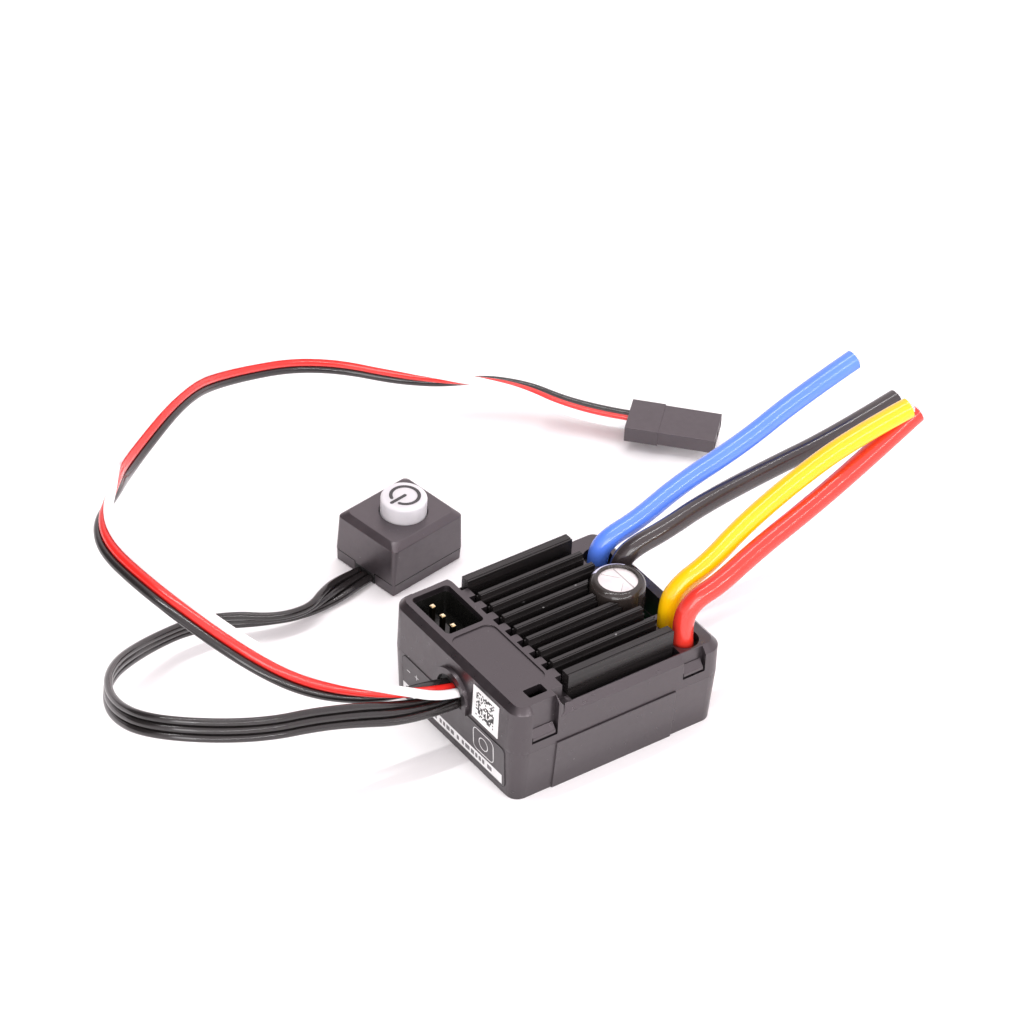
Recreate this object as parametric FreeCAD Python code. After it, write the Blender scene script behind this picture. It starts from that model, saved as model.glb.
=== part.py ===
"""Brushed-motor electronic speed controller with power leads, receiver lead and remote power switch.

Units are millimetres.  The origin is the centre of the controller case's bottom face, +Z up.
+Y runs from the low-current lead end to the power-lead end, +X is across the case.
"""
import FreeCAD, Part
import math
import os

V = FreeCAD.Vector
UP = V(0, 0, 1)

# controller case
HALF_WIDTH = 15.6
HALF_LENGTH = 18.3
CORNER_RADIUS = 2.5
WALL = 1.25
FLOOR = 1.4
DRAFT = 0.6                 # the lower shell is this much smaller at its bottom, on each side
PARTING_Z = 8.8             # where the lower shell meets the cover
BRIDGE_TOP = 16.8           # top of the front bridge
BRIDGE_CHAMFER = 0.95
BRIDGE_REAR = -9.05         # the front bridge ends here, before its comb teeth
BRIDGE_CORNER = 2.0         # round of its two rear corners, seen from above
TOOTH_REAR = -7.95
RAIL_TOP = 14.4             # top of the side rails and of the rear corners
RAIL_BEVEL = 1.1
REAR_WALL_TOP = 13.3        # the rear wall is lower between the two pairs of power leads
DECK_FRONT = 11.1           # the rear deck carries the power leads
DECK_BOTTOM = 11.4
PANEL_PROUD = 0.25          # step of the middle panel on each long side
PANEL_ENDS = (-11.2, 9.8)

# snap windows in the cover's long sides, and the hooks that stand in them
FRONT_WINDOW = (-15.5, -11.1)
REAR_WINDOW = (11.0, 14.9)
WINDOW_BOTTOM = 10.3
WINDOW_DEPTH = 1.0
HOOK_FOOT = WINDOW_BOTTOM + 0.35
TONGUE_THICK = 0.6
TONGUE_TOP = 11.25

# heatsink
FIN_COUNT = 7
FIN_PITCH = 2.95
FIN_THICK = 0.85
FIN_ROOT_THICK = 1.45
FIN_LEDGE_Z = 16.6
FIN_TOP = 17.35
FIN_FRONT = -7.75
FIN_REAR = 10.3
SIDE_WALL_INNER = 11.6
SIDE_WALL_OUTER = 13.15
SIDE_WALL_TOP = 17.75
SINK_HALF_WIDTH = 13.6
SINK_REAR = 10.65
SINK_BOTTOM = 9.8
SINK_BASE_TOP = 12.8
GROOVE = 0.14               # width and depth of the line along the top of each fin

# capacitor beside the fins
CAP_X = -0.2
CAP_Y = 10.5
CAP_RADIUS = 4.1
CAP_TOP = 18.3
CAP_CLEAR_RADIUS = 4.35
SLEEVE = 0.15

# circuit board
BOARD_BOTTOM = 6.0
BOARD_TOP = 7.6
CHIP_TOP = 8.9              # the power transistors reach up to the thermal pad

# program port
PORT_X = (-13.7, -4.3)
PORT_Y = (-16.4, -9.95)
PORT_FLOOR = 12.0
PIN_PITCH = 2.54
PIN_SIZE = 0.64
PIN_X = -8.86               # middle pin
PIN_Y = -14.1
PIN_TOP = 16.3
HEADER_TOP = 13.6

# low-current lead exit in the front face
EXIT_HALF_WIDTH = 3.1
EXIT_ARCH_Z = 10.0
COLLAR_WIDTH = 1.0
COLLAR_PROUD = 0.6

# power leads: where each one stands in the rear deck
LEAD_RADIUS = 1.55
LEAD_HOLE_RADIUS = 2.2
SEAL_TOP = 12.8
TAIL_RADIUS = 1.2
TIP_RADIUS = 0.95
TIP_LENGTH = 0.7
LEAD_PLACES = {
    "blue": (-9.6, 14.0),
    "black": (-5.5, 14.8),
    "yellow": (7.6, 14.0),
    "red": (12.0, 13.5),
}
LEAD_ROUTES = {
    "blue": [(-9.6, 14, 16.5), (-8.5, 18, 18.5), (-9.5, 28, 22), (-9, 39, 25.5), (-9.5, 49.5, 29.5),
             (-9.5, 59.5, 32.5)],
    "black": [(-5.6, 14.8, 16.8), (-4, 19, 19.5), (-5.5, 29.5, 20.5), (-6, 41.5, 21.5), (-6, 54, 22.5),
              (-6.5, 66, 24.5)],
    "yellow": [(7.4, 13.8, 18.6), (9, 17.5, 21.5), (8, 26, 27), (8, 35, 31.5), (8.5, 44.5, 35.5),
               (9.5, 54, 38)],
    "red": [(11.6, 13.2, 19), (13, 16.5, 22), (11.5, 26, 25), (10.5, 36.5, 28), (9.5, 46.5, 31.5),
            (8.5, 56.5, 35.5)],
}

# ribbon leads, each drawn as a round tube as thick as one and a bit of its conductors
RIBBON_TUBE_RADIUS = 0.75
RECEIVER_ROUTE = [
    (0.2, -18.4, 11.15), (0.2, -25, 11.9), (-4.5, -37.5, 16), (-10, -45.5, 21), (-25.5, -52.5, 26.5),
    (-40.5, -52.5, 26), (-50, -43.5, 25), (-61, -35, 18), (-72.5, -17.5, 17), (-78.5, -6, 12),
    (-78, 10, 9), (-66.5, 22, 7.5), (-59.5, 34, 6.5), (-51.2, 41.2, 3.2), (-45.4, 46.7, 3.2),
]
SWITCH_ROUTE = [
    (0.9, -18.4, 9.6), (1.2, -25, 10.1), (-0.7, -38.5, 14.3), (-1.5, -51, 16.5), (-9, -63.5, 17.5),
    (-19.5, -63.5, 13.5), (-29, -58, 10.5), (-36, -47.5, 6), (-38.5, -35.5, 4), (-33, -23, 2.5),
    (-36, -14, 2), (-38, -7.2, 0.9),
]

# receiver plug: lies flat, pointing along its own X axis
PLUG_REAR = (-45.4, 46.7, 3.2)
PLUG_ANGLE = 43.5
PLUG_LENGTH = 14.0
PLUG_WIDTH = 7.5
PLUG_THICK = 2.6
PLUG_STEP = 5.2              # length of the larger rear part

# remote switch box
SWITCH_CENTRE = (-39.3, -0.3)
SWITCH_ANGLE = 9.5
SWITCH_HALF_X = 6.25
SWITCH_HALF_Y = 7.1
SWITCH_CORNER = 0.4
SWITCH_SHOULDER_CORNER = 0.8
SWITCH_HEIGHT = 9.1
SWITCH_SHOULDER = 8.2       # the top's chamfer starts here
SWITCH_CHAMFER = 0.95        # and goes in by this much
SWITCH_TOP_CORNER = 1.2
SWITCH_PARTING = 2.1
SWITCH_WALL = 1.1
SWITCH_LEAD_HALF = 2.1       # half the width of the slot that the lead comes out of
SWITCH_SLOT_TOP = 1.8        # a tab of the cover closes the slot above this height
BUTTON_PLACE = (0.2, 0.4)    # the button stands a little off the box's centre
BUTTON_RADIUS = 3.5
BUTTON_TOP = 11.8
BUTTON_CLEARANCE = 0.15
BUTTON_FLANGE_RADIUS = 4.3
BUTTON_FLANGE = (7.0, 7.8)
SYMBOL_RADIUS = 2.35
SYMBOL_SHIFT = (0, 0.2)      # the symbol is printed a little off the button's centre
SYMBOL_STROKE = 0.45


def box(x_range, y_range, z_range):
    size = [b - a for a, b in (x_range, y_range, z_range)]
    return Part.makeBox(size[0], size[1], size[2], V(x_range[0], y_range[0], z_range[0]))


def cylinder(radius, z_range, x=0.0, y=0.0):
    return Part.makeCylinder(radius, z_range[1] - z_range[0], V(x, y, z_range[0]), UP)


def rounded_outline(x_range, y_range, z, radius):
    """Closed horizontal outline of a rectangle with round corners."""
    (x0, x1), (y0, y1) = x_range, y_range
    slant = radius * (1 - math.sqrt(0.5))
    arcs = [
        ((x1 - radius, y0), (x1 - slant, y0 + slant), (x1, y0 + radius)),
        ((x1, y1 - radius), (x1 - slant, y1 - slant), (x1 - radius, y1)),
        ((x0 + radius, y1), (x0 + slant, y1 - slant), (x0, y1 - radius)),
        ((x0, y0 + radius), (x0 + slant, y0 + slant), (x0 + radius, y0)),
    ]
    edges = []
    for index, points in enumerate(arcs):
        a, b, c = [V(px, py, z) for px, py in points]
        edges.append(Part.Arc(a, b, c).toShape())
        nxt = arcs[(index + 1) % 4][0]
        edges.append(Part.LineSegment(c, V(nxt[0], nxt[1], z)).toShape())
    return Part.Wire(edges)


def rounded_block(x_range, y_range, z_range, radius):
    outline = rounded_outline(x_range, y_range, z_range[0], radius)
    return Part.Face(outline).extrude(V(0, 0, z_range[1] - z_range[0]))


def tapered_block(x_half, y_half, z_range, radius, inset_low, inset_high, top_radius=None):
    """Block centred on the origin whose sides lean in by the two insets.

    Its corners shrink with the insets, or go to top_radius where that is given.
    """
    corner_high = top_radius or radius - inset_high
    outlines = []
    for z, inset, corner in zip(z_range, (inset_low, inset_high), (radius - inset_low, corner_high)):
        x_out = x_half - inset
        y_out = y_half - inset
        outlines.append(rounded_outline((-x_out, x_out), (-y_out, y_out), z, corner))
    return Part.makeLoft(outlines, True, True)


def prism_along_x(outline, x_range):
    """Extrude a closed outline of (y, z) points along X."""
    points = [V(x_range[0], y, z) for y, z in outline]
    face = Part.Face(Part.makePolygon(points + points[:1]))
    return face.extrude(V(x_range[1] - x_range[0], 0, 0))


def arch_block(half_width, arch_z, y_range):
    """Upright slab with a round top and its foot on the parting plane."""
    y0 = y_range[0]
    left_foot = V(-half_width, y0, PARTING_Z)
    left_spring = V(-half_width, y0, arch_z)
    right_spring = V(half_width, y0, arch_z)
    right_foot = V(half_width, y0, PARTING_Z)
    crown = V(0, y0, arch_z + half_width)
    edges = [
        Part.LineSegment(left_foot, left_spring).toShape(),
        Part.Arc(left_spring, crown, right_spring).toShape(),
        Part.LineSegment(right_spring, right_foot).toShape(),
        Part.LineSegment(right_foot, left_foot).toShape(),
    ]
    return Part.Face(Part.Wire(edges)).extrude(V(0, y_range[1] - y0, 0))


def mirrored_x(shape):
    return shape.mirror(V(0, 0, 0), V(1, 0, 0))


def tube_along(points, radius, name):
    """Round tube along straight runs joined by tangent arcs as large as the runs allow."""
    corners = [V(*p) for p in points]
    edges = []
    start = corners[0]
    tightest = None
    for before, corner, after in zip(corners, corners[1:], corners[2:]):
        run_in = corner - before
        run_out = after - corner
        turn = run_in.getAngle(run_out)
        reach = 0.45 * min(run_in.Length, run_out.Length)
        bend = reach / math.tan(turn / 2)
        tightest = bend if tightest is None else min(tightest, bend)
        unit_in = V(run_in).normalize()
        unit_out = V(run_out).normalize()
        arc_start = corner - unit_in * reach
        arc_end = corner + unit_out * reach
        inward = (unit_out - unit_in).normalize()
        centre = corner + inward * (bend / math.cos(turn / 2))
        arc_middle = centre - inward * bend
        edges.append(Part.LineSegment(start, arc_start).toShape())
        edges.append(Part.Arc(arc_start, arc_middle, arc_end).toShape())
        start = arc_end
    edges.append(Part.LineSegment(start, corners[-1]).toShape())
    path = Part.Wire(edges)
    direction = corners[1] - corners[0]
    ring = Part.Wire(Part.makeCircle(radius, corners[0], direction))
    tube = path.makePipeShell([ring], True, True)
    expected = math.pi * radius ** 2 * path.Length
    print(f"{name}: length {path.Length:.1f} mm, tightest bend {tightest:.1f} mm, "
          f"volume off by {100 * (tube.Volume / expected - 1):.2f} %")
    return tube


# ---- lower shell and cover ----

def snap_hook(window):
    """Hook of the lower shell with a sloped top, standing in a window of the +X side."""
    y_low = window[0] + 0.15
    y_high = window[1] - 0.3
    x_in = HALF_WIDTH - WINDOW_DEPTH + 0.05
    x_out = HALF_WIDTH - 0.05
    outline = [(x_in, HOOK_FOOT), (x_out, HOOK_FOOT), (x_out, HOOK_FOOT + 0.55), (x_in, HOOK_FOOT + 1.6)]
    points = [V(x, y_low, z) for x, z in outline]
    face = Part.Face(Part.makePolygon(points + points[:1]))
    return face.extrude(V(0, y_high - y_low, 0))


def hook_tongue(window, gap=0.0):
    """Tongue that carries a hook, up inside the cover's wall and out through the window's thin back."""
    y_range = (window[0] + 0.15 - gap, window[1] - 0.3 + gap)
    inside = HALF_WIDTH - WALL
    tongue = box((inside - TONGUE_THICK - gap, inside + gap), y_range, (PARTING_Z - 1.0, TONGUE_TOP + gap))
    web = box((inside - 0.1, HALF_WIDTH - WINDOW_DEPTH + 0.1), y_range, (HOOK_FOOT - gap, TONGUE_TOP + gap))
    return tongue.fuse(web)


def lower_shell():
    shell = tapered_block(HALF_WIDTH, HALF_LENGTH, (0, PARTING_Z), CORNER_RADIUS, DRAFT, 0)
    for sign in (-1, 1):
        panel = [
            V(sign * (HALF_WIDTH - 2), PANEL_ENDS[0], 0),
            V(sign * (HALF_WIDTH - DRAFT + PANEL_PROUD), PANEL_ENDS[0], 0),
            V(sign * (HALF_WIDTH + PANEL_PROUD), PANEL_ENDS[0], PARTING_Z),
            V(sign * (HALF_WIDTH - 2), PANEL_ENDS[0], PARTING_Z),
        ]
        face = Part.Face(Part.makePolygon(panel + panel[:1]))
        shell = shell.fuse(face.extrude(V(0, PANEL_ENDS[1] - PANEL_ENDS[0], 0)))
    x_in = HALF_WIDTH - WALL - 0.15
    y_in = HALF_LENGTH - WALL - 0.15
    shell = shell.cut(rounded_block((-x_in, x_in), (-y_in, y_in), (FLOOR, PARTING_Z + 1), 1.2))
    for x in (-11.5, 11.5):
        for y in (-14.5, 14.5):
            shell = shell.fuse(cylinder(1.1, (FLOOR, BOARD_BOTTOM), x, y))
    for window in (FRONT_WINDOW, REAR_WINDOW):
        hook = snap_hook(window).fuse(hook_tongue(window))
        shell = shell.fuse([hook, mirrored_x(hook)])
    return shell.removeSplitter()


def cover_outer():
    """Outside of the cover: bevelled rails all round with the taller bridge at the front."""
    bevel_foot = RAIL_TOP - RAIL_BEVEL
    body = tapered_block(HALF_WIDTH, HALF_LENGTH, (PARTING_Z, bevel_foot), CORNER_RADIUS, 0, 0.02)
    crown = tapered_block(HALF_WIDTH, HALF_LENGTH, (bevel_foot, RAIL_TOP), CORNER_RADIUS, 0.02, RAIL_BEVEL)
    chamfer_foot = BRIDGE_TOP - BRIDGE_CHAMFER
    bridge = tapered_block(HALF_WIDTH, HALF_LENGTH, (bevel_foot, chamfer_foot), CORNER_RADIUS, 0.02, 0.04)
    bridge_top = tapered_block(
        HALF_WIDTH, HALF_LENGTH, (chamfer_foot, BRIDGE_TOP), CORNER_RADIUS, 0.04, BRIDGE_CHAMFER)
    keep = rounded_block((-HALF_WIDTH, HALF_WIDTH), (-20, BRIDGE_REAR), (0, 20), BRIDGE_CORNER)
    keep = keep.fuse(box((-SIDE_WALL_INNER + 0.15, SIDE_WALL_INNER - 0.15), (-20, TOOTH_REAR), (0, 20)))
    return body.fuse([crown, bridge.fuse(bridge_top).common(keep)])


def bridge_scallop():
    """Round hollow where the bridge runs down into the side rail away from the program port."""
    return Part.makeCylinder(2.7, 4, V(SIDE_WALL_OUTER + 0.2, -8.3, BRIDGE_TOP + 0.25), V(1, 0, 0))


def comb_notches():
    """Notches of the bridge's rear edge, one in front of each fin."""
    half = FIN_ROOT_THICK / 2
    cuts = []
    for index in range(FIN_COUNT):
        x = (index - (FIN_COUNT - 1) / 2) * FIN_PITCH
        cuts.append(box((x - half, x + half), (BRIDGE_REAR, TOOTH_REAR + 1), (SINK_BASE_TOP, 20)))
    return cuts


def cover_hollows():
    """Everything that is cut out of the cover's outer shape."""
    inner_x = HALF_WIDTH - WALL
    front_in = -HALF_LENGTH + WALL
    below_bridge = box((-inner_x, inner_x), (front_in, -9.9), (PARTING_Z - 1, BRIDGE_TOP - 1.4))
    port_walls = box((PORT_X[0] - 0.8, PORT_X[1] + 0.8), (front_in - 1, PORT_Y[1] + 0.8), (11.2, 20))
    cuts = [below_bridge.cut(port_walls)]
    cuts.append(rounded_block(PORT_X, PORT_Y, (PORT_FLOOR, 20), 0.7))
    cuts.append(box((-inner_x, inner_x), (-10, -7.9), (PARTING_Z - 1, 11.6)))
    cuts.append(box((-inner_x, inner_x), (TOOTH_REAR, DECK_FRONT), (PARTING_Z - 1, 20)))
    rear_in = HALF_LENGTH - WALL
    cuts.append(box((-inner_x, inner_x), (DECK_FRONT - 1, rear_in), (PARTING_Z - 1, DECK_BOTTOM)))
    cuts.append(rounded_block((-4.5, 4.5), (DECK_FRONT - 2, HALF_LENGTH - 1.5), (DECK_BOTTOM - 1, 20), 0.8))
    cuts.append(box((-5.6, 5.6), (DECK_FRONT, 20), (REAR_WALL_TOP, 20)))
    cuts.append(rounded_block((-3.4, 10.9), (-17.0, -9.6), (BRIDGE_TOP - 0.2, 20), 1.5))
    cuts.append(rounded_block((11.4, 13.25), (-14.6, -11.5), (BRIDGE_TOP - 3, 20), 0.25))
    cuts.append(arch_block(EXIT_HALF_WIDTH, EXIT_ARCH_Z, (-20, front_in + 0.5)))
    for x, y in LEAD_PLACES.values():
        cuts.append(cylinder(LEAD_HOLE_RADIUS, (DECK_BOTTOM - 1, 20), x, y))
    for window in (FRONT_WINDOW, REAR_WINDOW):
        recess = box((HALF_WIDTH - WINDOW_DEPTH, 20), window, (WINDOW_BOTTOM, 20))
        for cut in (recess, hook_tongue(window, 0.1)):
            cuts.append(cut)
            cuts.append(mirrored_x(cut))
    return cuts


def top_cover():
    cover = cover_outer()
    cover = cover.cut(bridge_scallop())
    cover = cover.cut(comb_notches())
    cover = cover.cut(cover_hollows())
    collar_depth = (-HALF_LENGTH - COLLAR_PROUD, -HALF_LENGTH + 0.5)
    ring = arch_block(EXIT_HALF_WIDTH + COLLAR_WIDTH, EXIT_ARCH_Z, collar_depth)
    ring = ring.cut(arch_block(EXIT_HALF_WIDTH, EXIT_ARCH_Z, (-20, -10)))
    return cover.fuse(ring).removeSplitter()


def exit_grommet():
    """Rubber block in the front exit that the two ribbon leads come out of."""
    return arch_block(EXIT_HALF_WIDTH, EXIT_ARCH_Z, (-18.4, -16.6))


def lead_seal(colours):
    plugs = [cylinder(LEAD_HOLE_RADIUS, (DECK_BOTTOM, SEAL_TOP), *LEAD_PLACES[c]) for c in colours]
    return plugs[0].fuse(plugs[1]).removeSplitter()


def heatsink_seal():
    x_out = HALF_WIDTH - WALL
    outer = box((-x_out, x_out), (TOOTH_REAR, DECK_FRONT), (11.6, 12.6))
    inner = box((-SINK_HALF_WIDTH, SINK_HALF_WIDTH), (FIN_FRONT, SINK_REAR), (11, 13))
    return outer.cut(inner).cut(cylinder(CAP_CLEAR_RADIUS, (11, 13), CAP_X, CAP_Y))


# ---- heatsink and capacitor ----

def top_grooves():
    """Fine drawn line along the top of each fin and side wall."""
    grooves = []
    for index in range(FIN_COUNT):
        x = (index - (FIN_COUNT - 1) / 2) * FIN_PITCH + 0.12
        grooves.append(box((x, x + GROOVE), (-20, 20), (FIN_TOP - GROOVE, 20)))
    for edge in (-SIDE_WALL_INNER, SIDE_WALL_OUTER):
        x = edge - 0.4
        grooves.append(box((x, x + GROOVE), (-20, 20), (SIDE_WALL_TOP - GROOVE, 20)))
    return grooves


def heatsink():
    sink = box((-SINK_HALF_WIDTH, SINK_HALF_WIDTH), (FIN_FRONT, SINK_REAR), (SINK_BOTTOM, SINK_BASE_TOP))
    fins = []
    for index in range(FIN_COUNT):
        x = (index - (FIN_COUNT - 1) / 2) * FIN_PITCH
        for half, top in ((FIN_ROOT_THICK / 2, FIN_LEDGE_Z), (FIN_THICK / 2, FIN_TOP)):
            fins.append(box((x - half, x + half), (FIN_FRONT, FIN_REAR), (SINK_BASE_TOP, top)))
    for sign in (-1, 1):
        x_range = sorted((sign * SIDE_WALL_INNER, sign * SIDE_WALL_OUTER))
        fins.append(box(x_range, (FIN_FRONT - 0.1, SINK_REAR), (SINK_BASE_TOP, SIDE_WALL_TOP)))
    sink = sink.fuse(fins).cut(top_grooves())
    sink = sink.cut(cylinder(CAP_CLEAR_RADIUS, (SINK_BOTTOM - 1, 20), CAP_X, CAP_Y))
    return sink.removeSplitter()


def capacitor_sleeve():
    """Heat-shrink sleeve with a lip rolled over the rim of the can."""
    sleeve = cylinder(CAP_RADIUS, (8.0, CAP_TOP), CAP_X, CAP_Y)
    sleeve = sleeve.cut(cylinder(CAP_RADIUS - SLEEVE, (7, CAP_TOP - SLEEVE), CAP_X, CAP_Y))
    return sleeve.cut(cylinder(CAP_RADIUS - 0.85, (7, 20), CAP_X, CAP_Y))


def capacitor_can():
    return cylinder(CAP_RADIUS - SLEEVE, (8.3, CAP_TOP - SLEEVE), CAP_X, CAP_Y)


def capacitor_bung():
    return cylinder(CAP_RADIUS - 0.6, (BOARD_TOP, 8.3), CAP_X, CAP_Y)


def capacitor_legs():
    legs = [cylinder(0.3, (5.2, BOARD_TOP), CAP_X + dx, CAP_Y) for dx in (-1.75, 1.75)]
    return Part.makeCompound(legs)


# ---- circuit board and what is on it ----

def circuit_board():
    board = box((-13.4, 13.4), (-16.5, 16.7), (BOARD_BOTTOM, BOARD_TOP))
    for dx in (-1.75, 1.75):
        board = board.cut(cylinder(0.35, (5, 9), CAP_X + dx, CAP_Y))
    return board


def power_transistors():
    chips = []
    for x in (-8.4, -2.8, 2.8, 8.4):
        for y in (-3.6, 3.0):
            chips.append(box((x - 2.4, x + 2.4), (y - 2.7, y + 2.7), (BOARD_TOP, CHIP_TOP)))
    return Part.makeCompound(chips)


def thermal_pad():
    return box((-11.4, 11.4), (-6.6, 5.9), (CHIP_TOP, SINK_BOTTOM))


def controller_chip():
    return box((1.2, 6.2), (-14.8, -9.8), (BOARD_TOP, BOARD_TOP + 1.0))


def voltage_regulator():
    body = box((8.2, 12.6), (-15.6, -10.2), (BOARD_TOP, BOARD_TOP + 2.2))
    tab = box((8.6, 12.2), (-10.2, -9.2), (BOARD_TOP, BOARD_TOP + 0.5))
    return body.fuse(tab)


def ceramic_capacitors():
    parts = []
    for x in (-12.2, 12.2):
        for y in (-5.0, -1.5, 2.0, 5.5):
            parts.append(box((x - 0.6, x + 0.6), (y - 1.0, y + 1.0), (BOARD_TOP, BOARD_TOP + 1.1)))
    return Part.makeCompound(parts)


def solder_pads():
    pads = [cylinder(1.6, (BOARD_TOP, BOARD_TOP + 0.25), x, y) for x, y in LEAD_PLACES.values()]
    return Part.makeCompound(pads)


def lead_tails():
    """The ends of the power leads inside the case, from their solder pads to the seals."""
    tails = [cylinder(TAIL_RADIUS, (BOARD_TOP + 0.25, DECK_BOTTOM), x, y) for x, y in LEAD_PLACES.values()]
    return Part.makeCompound(tails)


def program_header():
    half = 1.5 * PIN_PITCH
    header = box((PIN_X - half, PIN_X + half), (PIN_Y - 1.27, PIN_Y + 1.27), (PORT_FLOOR, HEADER_TOP))
    for pin in program_pins().Solids:
        header = header.cut(pin)
    return header


def program_pins():
    half = PIN_SIZE / 2
    pins = []
    for step in (-1, 0, 1):
        x = PIN_X + step * PIN_PITCH
        pins.append(box((x - half, x + half), (PIN_Y - half, PIN_Y + half), (PORT_FLOOR, PIN_TOP)))
    return Part.makeCompound(pins)


# ---- labels ----

def front_label():
    """Thin label on the sloping front of the lower shell, with round corners."""
    thick = 0.12
    z_low, z_high = 1.2, 8.6

    def face_y(z):
        return -HALF_LENGTH + DRAFT * (1 - z / PARTING_Z)

    slab = prism_along_x([
        (face_y(z_low), z_low), (face_y(z_high), z_high),
        (face_y(z_high) - thick, z_high), (face_y(z_low) - thick, z_low)], (-12.4, 13.0))
    outline = rounded_block((-12.4, 13.0), (z_low, z_high), (0, 5), 0.9)
    outline.rotate(V(0, 0, 0), V(1, 0, 0), 90)
    outline.translate(V(0, -15, 0))
    return slab.common(outline)


def code_label():
    return box((5.0, 11.2), (-HALF_LENGTH - 0.1, -HALF_LENGTH), (9.5, 15.2))


# ---- leads ----

def power_lead(colour):
    x, y = LEAD_PLACES[colour]
    return tube_along([(x, y, SEAL_TOP)] + LEAD_ROUTES[colour], LEAD_RADIUS, f"power_lead_{colour}")


def lead_tips():
    """Tinned ends of the four power leads, in line with each lead's last run."""
    tips = []
    for route in LEAD_ROUTES.values():
        end = V(*route[-1])
        tips.append(Part.makeCylinder(TIP_RADIUS, TIP_LENGTH, end, end - V(*route[-2])))
    return Part.makeCompound(tips)


def placed(shape, origin, angle):
    shape.rotate(V(0, 0, 0), UP, angle)
    shape.translate(V(*origin))
    return shape


def plug_housing():
    """Three-way receiver plug, a little larger in its rear half, with a cell for each contact."""
    half = PLUG_WIDTH / 2
    deep = PLUG_THICK / 2
    rear = box((0, PLUG_STEP), (-half, half), (-deep, deep))
    front = box((PLUG_STEP, PLUG_LENGTH), (-half + 0.15, half - 0.15), (-deep + 0.12, deep - 0.12))
    housing = rear.fuse(front)
    for step in (-1, 0, 1):
        y = step * PIN_PITCH
        housing = housing.cut(box((1.0, PLUG_LENGTH), (y - 0.75, y + 0.75), (-0.75, 0.75)))
    return placed(housing.removeSplitter(), PLUG_REAR, PLUG_ANGLE)


def plug_contacts():
    contacts = []
    for step in (-1, 0, 1):
        y = step * PIN_PITCH
        shell = box((2.0, 11.0), (y - 0.7, y + 0.7), (-0.7, 0.7))
        shell = shell.cut(box((5.0, 11.0), (y - 0.45, y + 0.45), (-0.45, 0.45)))
        contacts.append(placed(shell, PLUG_REAR, PLUG_ANGLE))
    return Part.makeCompound(contacts)


# ---- remote switch ----

def in_switch_frame(shape):
    return placed(shape, SWITCH_CENTRE + (0,), SWITCH_ANGLE)


def at_button(shape):
    """Move a piece of the button's stack from the box's centre to the button's own axis."""
    return in_switch_frame(placed(shape, BUTTON_PLACE + (0,), 0))


def lead_slot(z_range, side_gap=0.0):
    """Space of the lead's slot at the front of the switch box."""
    x_range = (-SWITCH_LEAD_HALF + side_gap, SWITCH_LEAD_HALF - side_gap)
    return box(x_range, (-SWITCH_HALF_Y - 0.5, -SWITCH_HALF_Y + 2.2), z_range)


def switch_inside(z_range):
    x_in = SWITCH_HALF_X - SWITCH_WALL
    y_in = SWITCH_HALF_Y - SWITCH_WALL
    return box((-x_in, x_in), (-y_in, y_in), z_range)


def switch_cover():
    body = tapered_block(
        SWITCH_HALF_X, SWITCH_HALF_Y, (SWITCH_PARTING, SWITCH_SHOULDER), SWITCH_CORNER, 0, 0.05,
        SWITCH_SHOULDER_CORNER)
    crown = tapered_block(
        SWITCH_HALF_X, SWITCH_HALF_Y, (SWITCH_SHOULDER, SWITCH_HEIGHT), SWITCH_SHOULDER_CORNER + 0.05,
        0.05, SWITCH_CHAMFER, SWITCH_TOP_CORNER)
    cover = body.fuse(crown).cut(switch_inside((0, SWITCH_HEIGHT - 1.2)))
    wall_only = box((-10, 10), (-SWITCH_HALF_Y, -SWITCH_HALF_Y + SWITCH_WALL), (0, 5))
    cover = cover.fuse(lead_slot((SWITCH_SLOT_TOP, SWITCH_PARTING + 0.2), 0.08).common(wall_only))
    bore = cylinder(BUTTON_RADIUS + BUTTON_CLEARANCE, (5, 20), *BUTTON_PLACE)
    return in_switch_frame(cover.cut(bore).removeSplitter())


def switch_base():
    base = tapered_block(SWITCH_HALF_X, SWITCH_HALF_Y, (0, SWITCH_PARTING), SWITCH_CORNER, 0.15, 0.05)
    base = base.cut(switch_inside((0.9, 5))).cut(lead_slot((-1, 5)))
    return in_switch_frame(base.removeSplitter())


def switch_grommet():
    """Rubber clamp in the slot, set back a little, that the switch lead ends in."""
    inner_part = box((-10, 10), (-SWITCH_HALF_Y + 0.1, 0), (0, 5))
    return in_switch_frame(lead_slot((0.1, SWITCH_SLOT_TOP)).common(inner_part))


def switch_board():
    return in_switch_frame(box((-4.7, 4.7), (-4.1, 5.6), (2.6, 3.6)))


def switch_posts():
    """Four posts between the switch's base and its board."""
    posts = [cylinder(0.6, (0.9, 2.6), x, y) for x in (-3.9, 3.9) for y in (-3.4, 4.9)]
    return in_switch_frame(Part.makeCompound(posts))


def tactile_body():
    body = box((-2.6, 2.6), (-2.6, 2.6), (3.6, 5.8))
    return at_button(body.cut(cylinder(1.25, (4.4, 6))))


def tactile_plunger():
    return at_button(cylinder(1.2, (5.0, BUTTON_FLANGE[0])))


def switch_lamps():
    lamps = [box((x - 0.5, x + 0.5), (-0.8, 0.8), (3.6, 4.3)) for x in (-3.9, 3.9)]
    return in_switch_frame(Part.makeCompound(lamps))


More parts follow.
